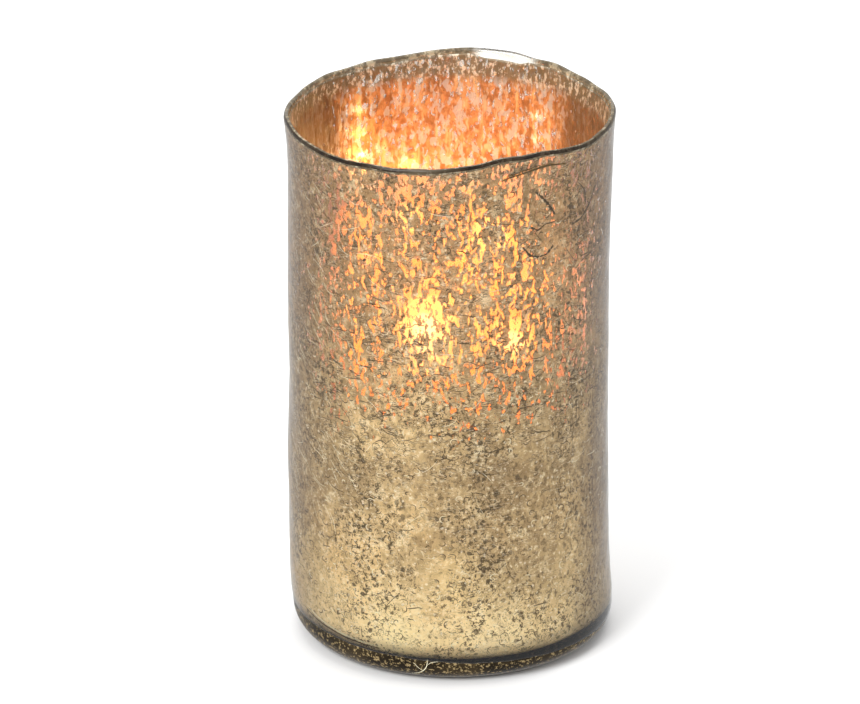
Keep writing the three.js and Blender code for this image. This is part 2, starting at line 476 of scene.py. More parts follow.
def lip_top_material():
    """The rounded top of the lip: mottled by the patina, clear along one stretch at the back."""
    t = Tree("rim_top_glass")
    x, y, z = t.xyz()
    n = t.noise(t.scaled(420, 420, 420), detail=4.0, rough=0.65)
    big = t.noise(t.scaled(60, 60, 60), detail=2.0)
    col = t.mix(t.ramp(n, 0.44, 0.62), srgb(92, 80, 60), srgb(172, 158, 130))
    col = t.mix(t.ramp(big, 0.42, 0.62, 0.0, 0.6), col, srgb(96, 84, 62))
    # the clear stretch, right of the middle of the back
    d = t.nt.nodes.new("ShaderNodeVectorMath")
    d.operation = "DISTANCE"
    t.put(d.inputs[0], t.co())
    d.inputs[1].default_value = (0.0155, 0.0405, 0.1505)
    clear = t.ramp(d.outputs["Value"], 0.0065, 0.0105, 1.0, 0.0)
    col = t.mix(clear, col, srgb(226, 224, 214))
    t.set(Base_Color=col, Roughness=t.ramp(n, 0.3, 0.7, 0.12, 0.32), IOR=1.5, Transmission_Weight=t.ramp(clear, 0.0, 1.0, 0.18, 0.9),
          Specular_IOR_Level=0.35, Normal=t.bump(n, 0.3, 0.0003))
    return t.mat


# ------------------------------------------------------------------ materials: silvering
# two small places at the front where the metal is almost gone: (x, y, z, reach) in metres
BARE = [(-0.0067, -0.0435, 0.1089, 0.0115), (0.0175, -0.0404, 0.1033, 0.0090)]


# places that kept more of their metal, and places that lost more: (degrees, mm, reach in mm, amount)
KEPT = [(45, 130, 17, 0.80), (7, 112, 9, 0.55), (42, 109, 9, 0.45), (-62, 125, 12, 0.4), (18, 89, 9, 0.35),
        (-18, 89, 9, 0.25)]
THINNED = [(-14, 139, 15, 0.022), (13, 133, 14, 0.020), (-37, 136, 12, 0.022), (4, 126, 10, 0.012)]


def worn(t):
    """Where the silvering is missing (1) and shared fields. Dense above mid-height, none near the base."""
    f = {}
    x, y, z = t.xyz()
    f["z"] = z
    warp = t.noise(t.scaled(420, 420, 420), detail=2.0, rough=0.5, color=True)
    warp = t.vmath("SUBTRACT", warp, (0.5, 0.5, 0.5))
    p = t.vmath("ADD", t.co(), t.vmath("SCALE", warp, scale=0.0012))
    f["p"] = p
    ang = t.math("ARCTAN2", x, t.math("MULTIPLY", y, -1.0))
    f["ang"] = ang
    level = t.noise(t.scaled(900, 900, 400, src=p), detail=3.0, rough=0.62)
    column = t.noise(t.scaled(300, 300, 44, offset=(4, 4, 4), src=p), detail=2.0, rough=0.5)
    patch = t.noise(t.scaled(110, 110, 60, offset=(1.7, 4.1, 2.2)), detail=2.0, rough=0.5)
    rise = t.ramp(t.math("ADD", z, t.math("MULTIPLY", t.math("SUBTRACT", patch, 0.5), 0.030)), 0.068, 0.092)
    # worn wide at the front, narrower at the back, hardly at the two sides
    wave = t.math("COSINE", t.math("MULTIPLY", t.math("SUBTRACT", ang, 0.05), 2.0))
    front = t.ramp(wave, -0.86, -0.20)
    back = t.ramp(wave, -0.25, 0.45, 0.0, 0.50)
    lobes = t.math("ADD", front, t.math("MULTIPLY", t.ramp(y, -0.004, 0.004), t.math("SUBTRACT", back, front)))
    f["lobes"] = lobes
    f["faces"] = front
    dens = t.math("MULTIPLY", rise, t.math("ADD", t.math("MULTIPLY", lobes, 0.90), 0.10))
    dens = t.math("MULTIPLY", dens, t.ramp(column, 0.36, 0.62, 0.48, 1.08))
    for deg, zz, reach, keep in KEPT:
        dens = t.math("MULTIPLY", dens, t.math("SUBTRACT", 1.0, t.math("MULTIPLY", t.near(deg, zz, reach), keep)))
    cut = t.math("ADD", t.ramp(dens, 0.0, 1.0, 0.655, 0.510, kind="LINEAR"), t.ramp(dens, 0.0, 0.10, 0.16, 0.0))
    bare = None
    for bx, by, bz, reach in BARE:
        d = t.nt.nodes.new("ShaderNodeVectorMath")
        d.operation = "DISTANCE"
        t.put(d.inputs[0], t.co())
        d.inputs[1].default_value = (bx, by, bz)
        b = t.ramp(d.outputs["Value"], reach * 0.25, reach, 1.0, 0.0)
        bare = b if bare is None else t.math("MAXIMUM", bare, b)
    f["bare"] = bare
    cut = t.math("SUBTRACT", cut, t.math("MULTIPLY", bare, 0.072))
    for deg, zz, reach, more in THINNED:
        cut = t.math("SUBTRACT", cut, t.math("MULTIPLY", t.near(deg, zz, reach, 0.1), more))
    over = t.math("SUBTRACT", level, cut)
    f["holes"] = t.ramp(over, -0.006, 0.010)
    f["thin"] = t.math("MULTIPLY", t.ramp(over, -0.035, 0.0), 0.10)
    f["open"] = t.math("MAXIMUM", f["holes"], t.math("ADD", f["thin"], t.math("MULTIPLY", bare, 0.22)))
    f["open"] = t.math("MULTIPLY", f["open"], t.ramp(y, 0.0, 0.02, 1.0, 0.60))
    return f


# clouds of paler and darker metal: (degrees, mm, reach in mm, amount, colour)
TONES = [
    (0, 31, 15, 0.50, (255, 226, 164)), (20, 13, 14, 0.60, (255, 236, 186)), (-20, 13, 15, 0.85, (255, 240, 188)),
    (36, 28, 18, 0.42, (152, 126, 84)), (19, 61, 15, 0.60, (140, 114, 76)), (-38, 58, 15, 0.50, (142, 118, 80)),
    (-18, 61, 13, 0.42, (160, 134, 96)), (42, 60, 14, 0.35, (140, 116, 78)), (-60, 30, 12, 0.30, (250, 222, 160)),
    (-40, 32, 13, 0.30, (176, 150, 106)), (18, 30, 12, 0.32, (160, 136, 94)),
    (120, 40, 22, 0.4, (150, 124, 84)), (-130, 60, 24, 0.4, (150, 124, 84)), (170, 25, 22, 0.5, (255, 230, 172)),
]


def contour(t, n, at, width):
    """Thin lines where a noise crosses a value."""
    return t.ramp(t.math("ABSOLUTE", t.math("SUBTRACT", n, at)), width * 0.3, width, 1.0, 0.0)


def lining_outer():
    """The gold side, seen through the glass."""
    t = Tree("silvering_gold")
    f = worn(t)
    z, p = f["z"], f["p"]
    blobs = t.noise(t.scaled(900, 900, 820, offset=(9, 2, 5), src=p), detail=3.0, rough=0.68)
    cloud = t.noise(t.scaled(70, 70, 46, offset=(5, 5, 1)), detail=4.0, rough=0.62)
    wide = t.noise(t.scaled(26, 26, 18, offset=(3, 8, 2)), detail=2.0, rough=0.5)
    mottle = t.noise(t.scaled(330, 330, 260, offset=(2, 6, 8), src=p), detail=3.0, rough=0.6)
    drift = t.ramp(cloud, 0.36, 0.62, 0.40, 1.0)
    # irregular dark bits, more of them where the cloud is dense
    bits = t.ramp(t.math("SUBTRACT", blobs, t.ramp(cloud, 0.35, 0.65, 0.590, 0.545)), 0.0, 0.022)
    bright = t.ramp(blobs, 0.405, 0.37, 0.0, 1.0)
    pits, pit_core, _ = t.spots(t.scaled(560, 560, 520, src=p), 0.50, 0.44)
    pits = t.math("SUBTRACT", pits, t.math("MULTIPLY", pit_core, 0.8))
    pale, _, _ = t.spots(t.scaled(950, 950, 900, offset=(7, 1, 5), src=p), 0.26, 0.40, 0.10)
    loops = t.noise(t.scaled(520, 520, 500, offset=(1, 5, 2), src=p), detail=2.0, rough=0.5)
    worms = t.math("MAXIMUM", contour(t, loops, 0.565, 0.020), contour(t, loops, 0.44, 0.016))
    worms = t.math("MULTIPLY", worms, t.ramp(t.noise(t.scaled(240, 240, 240, offset=(8, 2, 7)), detail=1.0), 0.40, 0.52))
    run = t.noise(t.scaled(150, 150, 640, offset=(2, 7, 1), src=p), detail=3.0, rough=0.55)
    gate = t.ramp(t.noise(t.scaled(260, 260, 260, offset=(6, 6, 3)), detail=2.0), 0.44, 0.56)
    crackle = t.math("MAXIMUM", contour(t, run, 0.47, 0.022), contour(t, run, 0.56, 0.018))
    crackle = t.math("MULTIPLY", t.math("MULTIPLY", crackle, gate), t.ramp(z, 0.050, 0.078, 0.25, 1.0))
    light_run = t.math("MULTIPLY", contour(t, run, 0.515, 0.016), gate)
    # base tones by height
    calm = t.ramp(z, 0.010, 0.045, 0.30, 1.0)
    low, mid, high = srgb(255, 231, 176), srgb(232, 203, 149), srgb(218, 173, 120)
    col = t.mix(t.ramp(z, 0.014, 0.046), low, mid)
    col = t.mix(t.ramp(z, 0.070, 0.120), col, high)
    col = t.mix(t.math("MULTIPLY", t.ramp(wide, 0.36, 0.62, 0.0, 0.60), calm), col, srgb(158, 132, 92))
    warm = t.noise(t.scaled(48, 48, 60, offset=(8, 1, 6)), detail=2.0, rough=0.5)
    warm = t.math("MULTIPLY", t.ramp(warm, 0.50, 0.68), t.ramp(z, 0.030, 0.060, 0.34, 0.0))
    col = t.mix(warm, col, srgb(246, 206, 138))
    col = t.mix(t.math("MULTIPLY", t.ramp(mottle, 0.44, 0.66, 0.0, 0.60), calm), col, srgb(142, 116, 74))
    col = t.mix(t.ramp(mottle, 0.46, 0.30, 0.0, 0.50), col, srgb(255, 240, 200))
    for deg, zz, reach, amount, rgb in TONES:
        col = t.mix(t.math("MULTIPLY", t.near(deg, zz, reach, 0.0), amount), col, srgb(*rgb))
    # bits, pits and lines
    col = t.mix(t.math("MULTIPLY", bright, 0.50), col, srgb(255, 244, 210))
    col = t.mix(t.math("MULTIPLY", bits, t.math("MULTIPLY", drift, 0.95)), col, srgb(92, 74, 42))
    col = t.mix(t.math("MULTIPLY", pits, t.math("MULTIPLY", drift, 0.90)), col, srgb(84, 66, 36))
    col = t.mix(t.math("MULTIPLY", pale, 0.6), col, srgb(255, 246, 222))
    col = t.mix(t.math("MULTIPLY", worms, t.math("MULTIPLY", drift, 0.88)), col, srgb(88, 70, 40))
    col = t.mix(t.math("MULTIPLY", crackle, 0.88), col, srgb(88, 72, 48))
    col = t.mix(t.math("MULTIPLY", light_run, 0.45), col, srgb(250, 236, 204))
    # painted shade: browner and darker on the two sides, which kept their metal, more on the right one
    side_shade_wave = t.math("COSINE", t.math("MULTIPLY", f["ang"], 2.0))
    side_shade_wave = t.math("ADD", side_shade_wave, t.math("MULTIPLY", t.math("SUBTRACT", t.noise(t.scaled(90, 90, 34, offset=(4, 1, 1)), detail=4.0, rough=0.6), 0.5), 1.1))
    side = t.math("MULTIPLY", t.ramp(side_shade_wave, -0.98, 0.10, 1.0, 0.0), t.ramp(f["ang"], -0.6, 0.6, 0.42, 0.60))
    col = t.mix(side, col, srgb(104, 76, 40))
    # painted shade: the corner and floor of the cup are dark, with pale specks, seen through the thick base
    x, y, _ = t.xyz()
    under = t.ramp(foot_height(t, x, y, z, t.noise(t.scaled(90, 90, 90), detail=3.0, rough=0.6)), 0.0058, 0.0062, 1.0, 0.0)
    specks = t.ramp(t.noise(t.scaled(760, 760, 760), detail=3.0, rough=0.65), 0.60, 0.70)
    col = t.mix(under, col, t.mix(specks, srgb(60, 48, 28), srgb(200, 184, 148)))
    rough = t.ramp(blobs, 0.3, 0.7, 0.30, 0.50)
    h = t.math("SUBTRACT", mottle, t.math("MULTIPLY", bits, 0.20))
    t.set(Base_Color=col, Metallic=t.ramp(z, 0.0080, 0.0130, 0.05, 0.62), Roughness=rough, Alpha=t.math("SUBTRACT", 1.0, f["open"]),
          Normal=t.bump(h, 0.22, 0.0005))
    return t.mat


def lining_inner():
    """The side towards the candle: brown lacquer over the metal, streaked downwards."""
    t = Tree("silvering_lacquer")
    f = worn(t)
    z, p = f["z"], f["p"]
    streak = t.noise(t.scaled(420, 420, 52, offset=(2, 2, 9), src=p), detail=4.0, rough=0.6)
    blobs = t.noise(t.scaled(480, 480, 420, offset=(9, 2, 5), src=p), detail=4.0, rough=0.6)
    diag = t.noise(t.scaled(700, 260, 260, offset=(1, 3, 2), src=p), detail=2.0, rough=0.5)
    x, y, _ = t.xyz()
    col = t.mix(t.ramp(blobs, 0.36, 0.66), srgb(158, 102, 60), srgb(208, 148, 96))
    col = t.mix(t.ramp(streak, 0.53, 0.68, 0.0, 0.65), col, srgb(232, 186, 132))
    col = t.mix(t.ramp(streak, 0.47, 0.34, 0.0, 0.6), col, srgb(118, 78, 48))
    col = t.mix(t.ramp(diag, 0.56, 0.66, 0.0, 0.45), col, srgb(222, 200, 168))
    # a deeper amber lower down, nearest the flame: partly the lacquer's colour, partly painted warm glow
    amber_and_painted_glow = t.mix(t.ramp(blobs, 0.36, 0.66), srgb(206, 126, 44), srgb(244, 178, 86))
    col = t.mix(t.ramp(z, 0.102, 0.124, 1.0, 0.0), col, amber_and_painted_glow)
    # where the lacquer is gone at the back, pale silver shows
    flake = t.noise(t.scaled(560, 560, 300, offset=(5, 8, 1), src=p), detail=2.0, rough=0.55)
    flake = t.math("MULTIPLY", t.ramp(flake, 0.535, 0.590), t.math("MULTIPLY", t.ramp(y, 0.010, 0.026), t.ramp(z, 0.102, 0.118)))
    # painted shade: the lacquer is darker at the two sides and towards the back corners, leaving the middle of the back
    # light
    side = t.ramp(f["faces"], 0.0, 0.60, 0.88, 0.0)
    side = t.math("MAXIMUM", side, t.math("MULTIPLY", t.ramp(y, 0.034, 0.026), t.math("MULTIPLY", t.ramp(y, 0.0, 0.010), 0.86)))
    col = t.mix(side, col, srgb(86, 64, 44))
    col = t.mix(t.math("MULTIPLY", flake, t.math("SUBTRACT", 0.72, t.math("MULTIPLY", side, 0.66))), col, srgb(186, 178, 170))
    # grey and speckled just under the lip
    speck = t.ramp(t.noise(t.scaled(800, 800, 500, offset=(2, 2, 2)), detail=3.0, rough=0.65), 0.50, 0.62)
    top = t.ramp(t.math("ADD", z, t.math("MULTIPLY", t.math("SUBTRACT", blobs, 0.5), 0.006)), 0.1425, 0.1465)
    col = t.mix(t.math("MULTIPLY", top, 0.85), col, t.mix(speck, srgb(110, 100, 78), srgb(206, 198, 178)))
    h = t.math("ADD", t.math("MULTIPLY", streak, 1.4), t.math("MULTIPLY", blobs, 0.6))
    t.set(Base_Color=col, Metallic=0.45, Roughness=t.ramp(streak, 0.3, 0.7, 0.34, 0.50),
          Alpha=t.math("SUBTRACT", 1.0, f["open"]), Normal=t.bump(h, 0.6, 0.0008))
    return t.mat


# ------------------------------------------------------------------ build the cup
glass = glass_material()
lip = lip_material()
verts, faces, tags = glass_skin()
vessel = new_mesh("glass_cup", verts, faces, "holder", mats=(glass, lip, lip_top_material()), face_mat=[{2: 1, 4: 2, 5: 2}.get(x, 0) for x in tags])
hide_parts("glass_vessel")

verts, faces, tags = lining_skin()
lining = new_mesh("silvering", verts, faces, "holder", mats=(lining_outer(), lining_inner()), face_mat=tags)
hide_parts("silvered_lining")


# ------------------------------------------------------------------ cracks and scratches, and painted shade in the lip's fold, as thin ribbons
def outer_r(z):
    """Nominal outside radius of the glass, foot corner included, in mm."""
    if z < CORNER_R:
        return FOOT_R + (float(wall_r(6.9)) - FOOT_R) * math.sin(math.acos(max(-1.0, min(1.0, 1 - z / CORNER_R))))
    return float(wall_r(z))


def gold_r(z):
    """Nominal radius of the gold face, in mm."""
    lo = FLOOR_Z + IN_CORNER
    if z < lo:
        return IN_R0 - IN_CORNER + IN_CORNER * math.sin(math.acos(max(0.0, min(1.0, 1 - (z - FLOOR_Z) / IN_CORNER)))) + 0.05
    return float(wall_r(z) - thick(z)) + 0.05


def nominal(deg, z):
    """The nominal height that the rim's wave carries to height z."""
    a = np.array(math.radians(deg))
    n = z
    for _ in range(12):
        n = z - float(rim_wave(a) * smooth((n - WAVE_FROM) / (RIM_Z - WAVE_FROM)))
    return n


def ribbon(pts, half, verts, faces, on_glass=False, true_height=False):
    """pts: (degrees from the front, height mm). A ribbon tapered at both ends, lying on the gold face."""
    q = np.array([(d, nominal(d, z) if true_height else z) for d, z in pts], float)
    q[:, 0] = np.radians(q[:, 0]) * 44.0
    step = np.r_[0, np.cumsum(np.hypot(*np.diff(q, axis=0).T))]
    n = max(6, int(step[-1] / 0.45))
    s = np.linspace(0, step[-1], n + 1)
    if len(q) > 2:
        fx, fz = pchip(list(zip(step, q[:, 0]))), pchip(list(zip(step, q[:, 1])))
        c = np.stack([fx(s), fz(s)], -1)
    else:
        c = np.stack([np.interp(s, step, q[:, 0]), np.interp(s, step, q[:, 1])], -1)
    d = np.gradient(c, axis=0)
    d /= np.maximum(np.hypot(d[:, 0], d[:, 1]), 1e-9)[:, None]
    w = half * np.clip(np.sin(np.pi * (np.arange(n + 1) + 0.35) / (n + 0.7)) ** 0.5, 0.12, 1)
    start = len(verts)
    for (u, z), (du, dz), ww in zip(c, d, w):
        for sgn in (-1, 1):
            uu, zz = u - sgn * dz * ww, z + sgn * du * ww
            a = uu / 44.0
            wv = float(smooth(np.array((zz - 1.5) / 9.0)))
            if on_glass:
                r = outer_r(zz) + 0.006
                b = wv * float(0.10 * lump_big(np.array(a), zz) + 0.022 * lump_small(np.array(a), zz) + 0.007 * lump_fine(np.array(a), zz))
            else:
                r = gold_r(zz) + 0.018
                b = wv * 0.10 * float(lump_big(np.array(a), zz))
            verts.append(glass_point(np.array(a), zz, r, b))
    for k in range(n):
        i0 = start + 2 * k
        faces.append((i0, i0 + 2, i0 + 3, i0 + 1))


def crack_and_fold_shade_sets():
    rng = np.random.default_rng(77)
    dark, pale = ([], []), ([], [])
    # named cracks at the upper right of the front
    for path, half in (
        ([(31.8, 141.9), (36, 138.8), (41.0, 133.7)], 0.36),
        ([(27.0, 126.5), (30.0, 123.6), (33.5, 122.6), (37.5, 122.9), (40.5, 124.7)], 0.33),
        ([(49.5, 129.0), (55.0, 129.6), (60.0, 132.6), (64.5, 137.5)], 0.32),
        ([(30.0, 132.0), (33.0, 130.6), (36.0, 131.4)], 0.23),
    ):
        # a chain of short uneven pieces, so the line breaks up
        d0 = np.array(path, float)
        run = np.r_[0, np.cumsum(np.hypot(*(np.diff(d0, axis=0) * (0.77, 1.0)).T))]
        pos = 0.0
        while pos < run[-1] - 0.6:
            end = min(run[-1], pos + float(rng.uniform(1.2, 2.6)))
            ss = np.linspace(pos, end, 4)
            off = rng.normal(0, 0.10)
            ribbon([(float(np.interp(q, run, d0[:, 0])), float(np.interp(q, run, d0[:, 1])) + off) for q in ss],
                   half * float(rng.uniform(0.7, 1.35)), *dark, true_height=True)
            pos = end - 0.15 + float(rng.uniform(0, 0.25))
    ribbon([(52.0, 141.0), (56.5, 137.0), (58.0, 132.0)], 0.19, *dark, true_height=True)
    ribbon([(-32.4, 122.0), (-31.0, 122.6)], 0.40, *dark, true_height=True)
    # the double line near the foot on the left, and a forked scratch across the foot
    ribbon([(-68, 11.6), (-54, 9.6), (-40, 8.5), (-27, 8.1)], 0.24, *dark)
    ribbon([(-66, 12.6), (-54, 10.5), (-41, 9.3), (-28, 8.9)], 0.20, *pale)
    ribbon([(-15.6, 1.9), (-13.0, 2.6), (-10.6, 3.9), (-9.2, 5.9), (-8.9, 7.6)], 0.10, *pale, on_glass=True)
    ribbon([(-14.0, 6.2), (-12.2, 4.4), (-11.0, 3.7)], 0.07, *pale, on_glass=True)
    ribbon([(-9.2, 5.6), (-7.6, 6.6), (-5.2, 7.0)], 0.06, *pale, on_glass=True)
    # painted shade: dark ribbons in the fold under the lip, right of the front
    ribbon([(17.5, 144.9), (23, 146.0), (30, 146.9), (38, 147.4), (45, 147.3)], 0.30, *dark, on_glass=True)
    ribbon([(20, 146.0), (26, 147.1), (33, 147.9)], 0.16, *dark, on_glass=True)
    # small curls, most of them low down
    for i in range(1500):
        z = float(rng.uniform(9, 84)) if rng.random() < 0.75 else float(rng.uniform(84, 146))
        deg, rad, turn = float(rng.uniform(-180, 180)), float(rng.uniform(0.35, 1.3)), float(rng.uniform(1.2, 4.6))
        t0 = float(rng.uniform(0, 2 * math.pi))
        th = np.linspace(t0, t0 + turn, 5)
        flat = float(rng.uniform(0.5, 1.0))
        ribbon([(deg + math.degrees(rad * math.cos(q) / 44.0), min(148.0, z + flat * rad * math.sin(q))) for q in th],
               float(rng.uniform(0.07, 0.16)), *(pale if i % 4 == 0 else dark))
    # short wavy cracks that run round the cup, most of them at mid-height
    for _ in range(620):
        z = float(np.clip(rng.normal(88, 15), 30, 143)) if rng.random() < 0.72 else float(rng.uniform(20, 143))
        deg, length = float(rng.uniform(-180, 180)), float(rng.uniform(1.2, 6.0))
        slope = float(rng.normal(0, 0.16))
        k = int(rng.integers(3, 6))
        us = np.linspace(0, length, k)
        zs = z + slope * us + rng.normal(0, 0.28, k)
        ribbon([(deg + math.degrees(u / 44.0), float(v)) for u, v in zip(us, zs)], float(rng.uniform(0.07, 0.16)), *dark)
    # slanting hairlines, thickest on the left of the front
    for i in range(420):
        left = rng.random() < 0.45
        deg = float(rng.uniform(-84, -38)) if left else float(rng.uniform(-180, 180))
        z = float(rng.uniform(40, 143)) if left else float(rng.uniform(16, 140))
        length, way = float(rng.uniform(2.0, 8.0)), float(rng.normal(-38, 16) if left else rng.uniform(-70, 70))
        bend = float(rng.normal(0, 0.5))
        dx, dz = math.cos(math.radians(way)), math.sin(math.radians(way))
        pts = [(deg + math.degrees((s * length * dx - bend * math.sin(math.pi * s) * dz) / 44.0),
                min(144.0, z + s * length * dz + bend * math.sin(math.pi * s) * dx)) for s in (0, 0.33, 0.66, 1)]
        ribbon(pts, float(rng.uniform(0.045, 0.11)), *(dark if i % 2 else pale))
    # upright dark strokes on the right
    for _ in range(60):
        deg, z, length = float(rng.uniform(50, 84)), float(rng.uniform(40, 136)), float(rng.uniform(2, 7))
        lean = float(rng.normal(0, 0.35))
        ribbon([(deg, z), (deg + lean, z + length * 0.5), (deg + lean * 1.4, z + length)], float(rng.uniform(0.05, 0.11)), *dark)
    return dark, pale


def matte(name, rgb, rough):
    t = Tree(name)
    n = t.noise(t.scaled(500, 500, 500), detail=2.0)
    t.set(Base_Color=t.mix(n, srgb(*rgb), srgb(*(min(255, int(c * 1.3)) for c in rgb))), Roughness=rough, Specular_IOR_Level=0.2)
    return t.mat


dark_set, pale_set = crack_and_fold_shade_sets()
# the dark ribbons: cracks, with painted shade in the lip's fold
new_mesh("silvering_cracks_and_fold_shade", dark_set[0], dark_set[1], "holder", mats=(matte("crack_patina_and_fold_shade", (72, 58, 36), 0.6),))
new_mesh("silvering_scratches", pale_set[0], pale_set[1], "holder", mats=(matte("scratch_pale", (222, 208, 174), 0.5),))


# ------------------------------------------------------------------ the tealight
def lathe(name, profile, seg, body, mat, wobble=None):
    """Closed lathe of (r, z) in mm above the tealight's underside, starting and ending on the axis or closed."""
    closed = profile[0][0] > 0
    pts = profile[:-1] if closed and profile[0] == profile[-1] else profile
    ang = np.arange(seg) / seg * 2 * math.pi
    verts, faces, rows = [], [], []
    for r, z in pts:
        s = len(verts)
        if r == 0:
            verts.append((0.0, 0.0, (z + CUP_Z) * MM))
            rows.append((s, 1))
        else:
            rr = r + (wobble(ang, r, z) if wobble else 0.0)
            rr = np.broadcast_to(rr, ang.shape)
            verts.extend(np.stack([rr * np.sin(ang) * MM, -rr * np.cos(ang) * MM, np.full(seg, (z + CUP_Z) * MM)], -1))
            rows.append((s, seg))
    pairs = list(zip(rows, rows[1:])) + ([(rows[-1], rows[0])] if closed else [])
    for (s0, n0), (s1, n1) in pairs:
        for i in range(seg):
            j = (i + 1) % seg
            if n0 == 1:
                faces.append((s0, s1 + j, s1 + i))
            elif n1 == 1:
                faces.append((s0 + i, s0 + j, s1))
            else:
                faces.append((s0 + i, s0 + j, s1 + j, s1 + i))
    return new_mesh(name, verts, faces, body, mats=(mat,))


def foil_material():
    t = Tree("tealight_foil")
    brush = t.noise(t.scaled(900, 900, 40), detail=3.0, rough=0.6)
    dent = t.noise(t.scaled(180, 180, 180), detail=2.0)
    t.set(Base_Color=t.mix(brush, srgb(205, 206, 208), srgb(232, 232, 233)), Metallic=1.0,
          Roughness=t.ramp(brush, 0.3, 0.7, 0.20, 0.34), Normal=t.bump(dent, 0.25, 0.0006))
    return t.mat


def wax_material():
    t = Tree("candle_wax")
    x, y, z = t.xyz()
    n = t.noise(t.scaled(240, 240, 240), detail=4.0, rough=0.6)
    mottled = t.noise(t.scaled(70, 70, 70), detail=3.0)
    rad = t.math("SQRT", t.math("ADD", t.math("MULTIPLY", x, x), t.math("MULTIPLY", y, y)))
    pool = t.ramp(rad, 0.0125, 0.0150, 1.0, 0.0)
    col = t.mix(t.ramp(mottled, 0.35, 0.7), srgb(240, 233, 214), srgb(250, 246, 236))
    col = t.mix(t.math("MULTIPLY", pool, 0.6), col, srgb(236, 222, 190))
    t.set(Base_Color=col, Roughness=t.ramp(pool, 0.0, 1.0, 0.42, 0.08), Subsurface_Weight=0.35,
          Subsurface_Radius=(0.004, 0.003, 0.002), Normal=t.bump(n, 0.15, 0.0004))
    return t.mat


def steel_material():
    t = Tree("sustainer_steel")
    n = t.noise(t.scaled(900, 900, 900), detail=3.0)
    t.set(Base_Color=t.mix(n, srgb(170, 170, 168), srgb(200, 199, 196)), Metallic=1.0,
          Roughness=t.ramp(n, 0.3, 0.7, 0.28, 0.42), Normal=t.bump(n, 0.2, 0.0002))
    return t.mat


def wick_material():
    t = Tree("wick_cotton")
    x, y, z = t.xyz()
    n = t.noise(t.scaled(1800, 1800, 900), detail=4.0, rough=0.65)
    char = t.ramp(z, (CUP_Z + 14.2) * MM, (CUP_Z + 17.0) * MM)
    col = t.mix(n, srgb(196, 182, 152), srgb(232, 224, 204))
    col = t.mix(char, col, t.mix(n, srgb(14, 12, 11), srgb(44, 38, 34)))
    t.set(Base_Color=col, Roughness=0.95, Normal=t.bump(n, 0.8, 0.0002))
    return t.mat


def flame_material():
    t = Tree("flame_light")
    x, y, z = t.xyz()
    u = t.ramp(z, (CUP_Z + 16.0) * MM, (CUP_Z + 34.0) * MM, kind="LINEAR")
    col = t.mix(t.ramp(u, 0.0, 0.22), (0.10, 0.14, 0.55), (1.0, 0.50, 0.13))
    col = t.mix(t.ramp(u, 0.15, 0.55), col, (1.0, 0.66, 0.26))
    col = t.mix(t.ramp(u, 0.6, 1.0), col, (1.0, 0.40, 0.08))
    t.set(Base_Color=(0.9, 0.5, 0.2, 1), Roughness=1.0, Specular_IOR_Level=0.0, Emission_Color=col,
          Emission_Strength=26.0)
    return t.mat


def crimp(ang, r, z):
    # fine flutes pressed into the side of the foil cup
    if r < 18.0 or z > 14.6:
        return 0.0 * ang
    return 0.07 * np.cos(60 * ang) * float(smooth(np.array((z - 0.9) / 2.0)))


foil, wax_mat, steel, cotton = foil_material(), wax_material(), steel_material(), wick_material()

cup_profile = [
    (0, 0.0), (6, 0.0), (12.3, 0.0), (12.7, 0.06), (13.1, 0.22), (13.5, 0.27), (15.9, 0.27), (16.3, 0.2), (16.7, 0.03), (17.1, 0.0),
    (17.6, 0.0), (17.95, 0.1), (18.2, 0.32), (18.38, 0.65), (18.44, 1.1), (18.5, 3.5), (18.56, 6.5), (18.63, 9.5), (18.7, 12.5),
    (18.75, 14.7), (18.85, 14.98), (19.1, 15.1), (19.28, 15.3), (19.36, 15.55), (19.3, 15.8), (19.12, 15.96), (18.88, 16.0),
    (18.66, 15.92), (18.52, 15.72), (18.47, 15.3), (18.44, 14.7), (18.39, 12.5), (18.33, 9.5), (18.26, 6.5), (18.2, 3.5),
    (18.14, 1.25), (18.06, 0.9), (17.9, 0.62), (17.6, 0.5), (13.4, 0.56), (12.9, 0.5), (12.4, 0.3), (6, 0.3), (0, 0.3),
]
cup = lathe("tealight_foil_cup", cup_profile, 240, "tealight", foil, crimp)
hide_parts("tealight_cup")

wax_profile = [
    (6.85, 0.85), (12.0, 0.86), (16.9, 0.85), (17.4, 1.0), (17.75, 1.5), (17.86, 4.0), (17.94, 7.0), (18.02, 10.0), (18.08, 13.0),
    (18.1, 13.95), (17.98, 14.15), (17.75, 14.18), (17.4, 14.02), (16.9, 13.86), (16.0, 13.76), (15.0, 13.68), (14.3, 13.55),
    (13.7, 13.36), (12.6, 13.26), (10, 13.22), (7, 13.2), (4.5, 13.21), (2.8, 13.28), (1.9, 13.42), (1.4, 13.48), (1.2, 13.4),
    (1.2, 9.0), (1.2, 4.1), (1.8, 4.1), (1.8, 1.4), (6.85, 1.4), (6.85, 0.85),
]
wax = lathe("tealight_wax_pool", wax_profile, 160, "candle", wax_mat,
            lambda ang, r, z: 0.12 * np.sin(5 * ang + 1.0) + 0.08 * np.sin(9 * ang) if 13.2 < z < 13.6 and 12.5 < r < 14.6 else 0.0 * ang)
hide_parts("tealight_wax")

sustainer = lathe("wick_clip", [
    (1.12, 0.6), (3.5, 0.6), (6.3, 0.6), (6.47, 0.66), (6.5, 0.78), (6.46, 0.9), (6.3, 0.95), (2.1, 0.95), (1.75, 1.02), (1.56, 1.2),
    (1.5, 1.6), (1.5, 3.5), (1.45, 3.75), (1.3, 3.82), (1.16, 3.76), (1.12, 3.5), (1.12, 0.6),
], 96, "candle", steel)
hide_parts("wick_sustainer")


